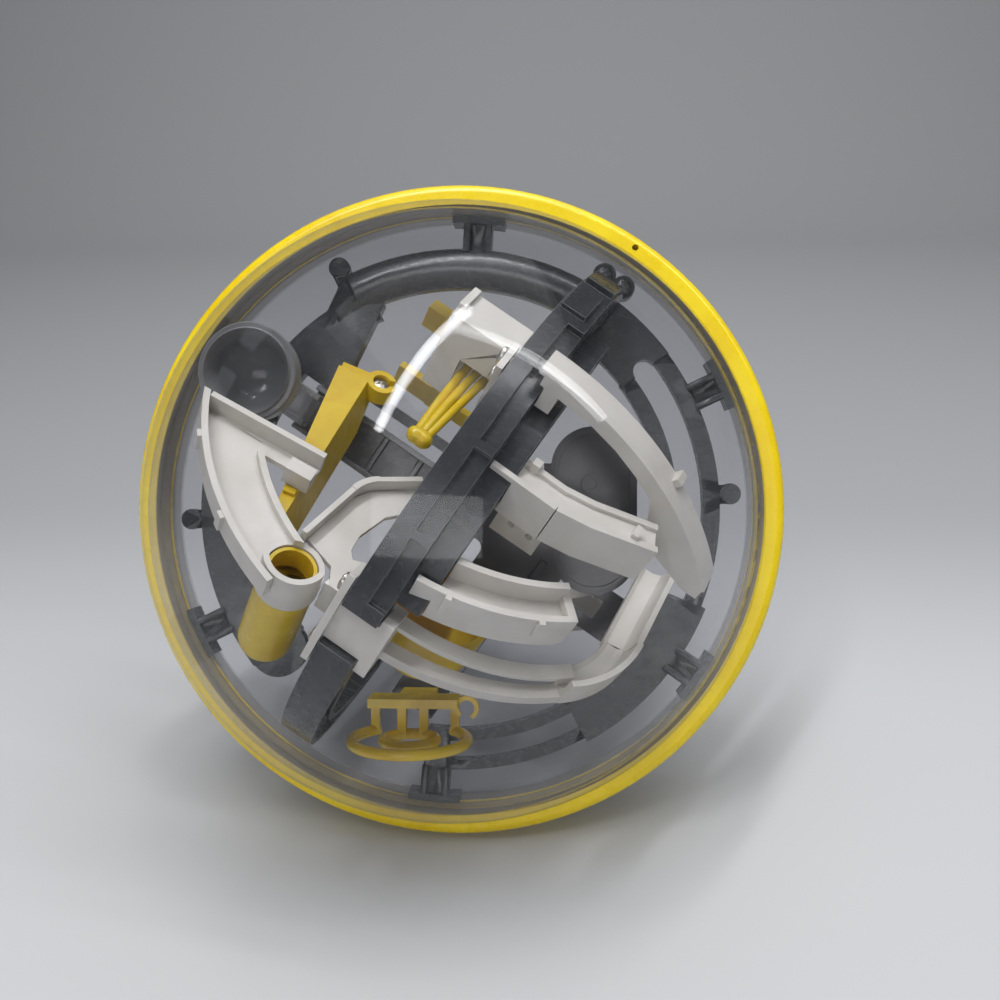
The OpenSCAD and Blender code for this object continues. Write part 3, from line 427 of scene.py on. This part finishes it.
def bridgeBar(row):  # a bar that bows a little and closes in on the middle one, with round ends
    run = np.linspace(0, 1, bridge["lengthSteps"])
    x = bridge["from"] + (bridge["to"] - bridge["from"]) * run
    y = bridge["middle"] + row * bridge["spread"] * (1 - bridge["closing"] * run ** bridge["closingPower"])
    z = bridge["height"] + bridge["bow"] * np.sin(np.pi * run) * (bridge["outerBow"] if row else 1)
    left = np.minimum(run, 1 - run) * abs(bridge["to"] - bridge["from"])  # length left to the nearer end
    radius = bridge["radius"] * np.sqrt(np.clip(1 - (1 - left / bridge["radius"]).clip(0, 1) ** 2, 0, 1))
    return barPoints(np.stack([x, y, z], -1), radius, bridge["roundSteps"])


def bridgeTip():  # a short bar across the ends of the three, thinning to nothing at both sides
    run = np.linspace(0, 1, bridge["tipSteps"])
    path = np.stack([bridge["to"] + bridge["tipBow"] * np.cos(np.pi * (run - 0.5)),
                     bridge["middle"] + bridge["tipLength"] * (run - 0.5),
                     np.full(bridge["tipSteps"], bridge["height"])], -1)
    radius = bridge["tipRadius"] * np.sqrt(np.clip(1 - (2 * run - 1) ** 4, 0, 1))
    return barPoints(path, radius, bridge["roundSteps"])


barCount = bridge["lengthSteps"] * bridge["roundSteps"]
barFaces = gridFaces(bridge["lengthSteps"], bridge["roundSteps"], False, True)
tipFaces = gridFaces(bridge["tipSteps"], bridge["roundSteps"], False, True)
bridgePoints = np.vstack([bridgeBar(row) for row in (-1, 0, 1)] + [bridgeTip()])
bridgeFaces = np.vstack([barFaces + barCount * k for k in range(3)] + [tipFaces + barCount * 3])
bridgeMesh = closedMesh("rodBridgeBars", placed(bridgePoints, mazeTurn), bridgeFaces)
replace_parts(finishPiece("rodBridgeBars", bridgeMesh, "track_yellow"), "rod_bridge")
print("rod bridge made")

# every other moulding and screw keeps its CAD form, with its edges rounded by so many millimetres
edgeRadius = {"equator_ring": 0, "mid_frame": 0, "start_bowl": 0.4, "start_trough": 0.3, "centre_plate": 0.4,
              "cover_plate": 0.35, "front_arch": 0.45, "rear_arch": 0.4, "scoop_track": 0.45,
              "drop_tube": 0.4, "ramp_plate": 0.45, "box_chute": 0.6, "crescent_track": 0.45,
              "arm_track": 0.45, "channel_track": 0.45, "twin_rails": 0.5, "yellow_arm": 0.6,
              "spiral_hook": 0.4, "half_tub": 0.4, "rear_channel": 0.45, "rear_chute": 0.5,
              "boss_screws": 0.12, "track_screws": 0.12, "arm_screw": 0.12}
otherLook = {"start_bowl": "smoke", "start_trough": "trough", "boss_screws": "darkScrew"}
wornLook = {"front_arch": "wornEdge"}
trueNormals = {"equator_ring": ringNormals}
for node, radius in edgeRadius.items():
    softened(node, radius, otherLook.get(node), wornLook.get(node), trueNormals.get(node))
frame["nodes"]["steel_ball"].data.materials.clear()
frame["nodes"]["steel_ball"].data.materials.append(materials["ball_steel"])
print("mouldings made:", len(edgeRadius))

# pale floor that sweeps up behind the ball: its outline in metres, and its colours with painted shade, pale
# in front, darker behind the ball and paler again up the wall, and where they change
backdrop = {"half": 2.2, "front": -1.6, "bend": 0.9, "curve": 0.5, "curveSteps": 24, "top": 2.0,
            "frontColour": "#c2c4c7", "rearPaintedShade": "#a8aaad", "wallColour": "#b9bbbe",
            "fade": (0.02, 0.2, 1.3)}
sweep = np.linspace(0, np.pi / 2, backdrop["curveSteps"])
outline = np.vstack([[[backdrop["front"], 0.0]],
                     np.stack([backdrop["bend"] + backdrop["curve"] * np.sin(sweep),
                               backdrop["curve"] * (1 - np.cos(sweep))], -1),
                     [[backdrop["bend"] + backdrop["curve"], backdrop["top"]]]])
sheetPoints = [(x, y, z) for y, z in outline for x in (-backdrop["half"], backdrop["half"])]
floorMesh = bpy.data.meshes.new("studioFloor")
floorMesh.from_pydata(sheetPoints, [], gridFaces(len(outline), 2)[:, ::-1].tolist())
floorMesh.polygons.foreach_set("use_smooth", np.ones(len(floorMesh.polygons), bool))
floor = bpy.data.objects.new("studioFloor", floorMesh)
bpy.context.scene.collection.objects.link(floor)
paper, paperTree, paperOut, paperPlace = startMaterial("paperBackdrop")  # matt seamless paper
fibre = addNode(paperTree, "ShaderNodeTexNoise", {"Scale": 600.0, "Detail": 2.0}, {"Vector": paperPlace})
paperBump = addNode(paperTree, "ShaderNodeBump", {"Strength": 0.05, "Distance": 0.0002},
                    {"Height": fibre.outputs["Fac"]})
depth = addNode(paperTree, "ShaderNodeSeparateXYZ", None, {0: paperPlace})
fadeFrom, fadeTo, fadeEnd = backdrop["fade"]
fade = addNode(paperTree, "ShaderNodeMapRange", {"From Min": fadeFrom, "From Max": fadeEnd},
               {"Value": depth.outputs["Y"]})  # painted shade: darker behind the ball, and paler where it rises
paintedShadeDeepest = (fadeTo - fadeFrom) / (fadeEnd - fadeFrom)
# painted shade: the paper colour runs from the pale front through a darker band behind the ball to a paler
# wall
paperToneWithPaintedShade = addRamp(paperTree, fade.outputs[0], ((0.0, backdrop["frontColour"]),
                      (paintedShadeDeepest, backdrop["rearPaintedShade"]), (1.0, backdrop["wallColour"])))
paperToneWithPaintedShade.color_ramp.interpolation = "EASE"
paperShader = addNode(paperTree, "ShaderNodeBsdfPrincipled", {"Roughness": 0.8},
                      {"Base Color": paperToneWithPaintedShade.outputs[0], "Normal": paperBump.outputs[0]})
paperTree.links.new(paperShader.outputs[0], paperOut.inputs["Surface"])
floorMesh.materials.append(paper)

# camera where the photograph was taken from: 36 mm lens, 0.29 m from the middle of the ball
eye = {"at": (0.0289, -0.2601, 0.2069), "right": (0.9984, 0.0528, -0.0229), "up": (-0.0009, 0.4124, 0.9110),
       "lens": 36.0, "sensor": 36.0, "clipStart": 0.01}
cameraData = bpy.data.cameras.new("photoCamera")
cameraData.lens = eye["lens"]
cameraData.sensor_width = eye["sensor"]
cameraData.clip_start = eye["clipStart"]
camera = bpy.data.objects.new("photoCamera", cameraData)
bpy.context.scene.collection.objects.link(camera)
right = Vector(eye["right"]).normalized()
back = right.cross(Vector(eye["up"])).normalized()
up = back.cross(right)
camera.matrix_world = Matrix((right, up, back)).transposed().to_4x4()
camera.location = eye["at"]
bpy.context.scene.camera = camera

# two long strips overhead, a weak box in front and a broad panel above, each aimed at a point; power in watts
lamps = {
    "leftStrip": {"at": (-0.125, -0.26, 0.95), "aim": (0.0, -0.06, 0.1), "size": (0.045, 0.85),
                  "power": 5.0},
    "rightStrip": {"at": (0.405, -0.14, 0.88), "aim": (0.02, -0.05, 0.1), "size": (0.045, 0.85),
                   "power": 2.4},
    "frontBox": {"at": (-0.1, -1.3, 0.55), "aim": (0.0, 0.0, 0.05), "size": (0.9, 0.5), "power": 4.4},
    "topPanel": {"at": (0.1, 0.05, 1.5), "aim": (0.0, 0.0, 0.08), "size": (1.5, 1.5), "power": 10.5},
}
for lampName, lamp in lamps.items():
    lampData = bpy.data.lights.new(lampName, "AREA")
    lampData.shape = "RECTANGLE"
    lampData.size, lampData.size_y = lamp["size"]
    lampData.energy = lamp["power"]
    lampObject = bpy.data.objects.new(lampName, lampData)
    bpy.context.scene.collection.objects.link(lampObject)
    lampObject.location = lamp["at"]
    beam = Vector(lamp["aim"]) - Vector(lamp["at"])
    lampObject.rotation_euler = beam.to_track_quat("-Z", "Y").to_euler()

# the room lights the ball weakly, and looks paler where it is seen directly, mirrored or through a wall
room = {"colour": "#dfe2e6", "light": 0.08, "seen": 0.24}
world = bpy.data.worlds.new("studioWorld")
bpy.context.scene.world = world
world.use_nodes = True
world.node_tree.nodes.clear()
ray = addNode(world.node_tree, "ShaderNodeLightPath")
mirrored = addNode(world.node_tree, "ShaderNodeMath", {"operation": "ADD", "use_clamp": True},
                   {0: ray.outputs["Is Camera Ray"], 1: ray.outputs["Is Glossy Ray"]})
seen = addNode(world.node_tree, "ShaderNodeMath", {"operation": "ADD", "use_clamp": True},
               {0: mirrored.outputs[0], 1: ray.outputs["Is Transmission Ray"]})
strength = addNode(world.node_tree, "ShaderNodeMapRange", {"To Min": room["light"], "To Max": room["seen"]},
                   {"Value": seen.outputs[0]})
worldLight = addNode(world.node_tree, "ShaderNodeBackground", {"Color": linear(room["colour"])},
                     {"Strength": strength.outputs[0]})
addNode(world.node_tree, "ShaderNodeOutputWorld", None, {"Surface": worldLight.outputs[0]})
bpy.context.scene.view_settings.view_transform = "Standard"
print("stage, camera and lamps set")
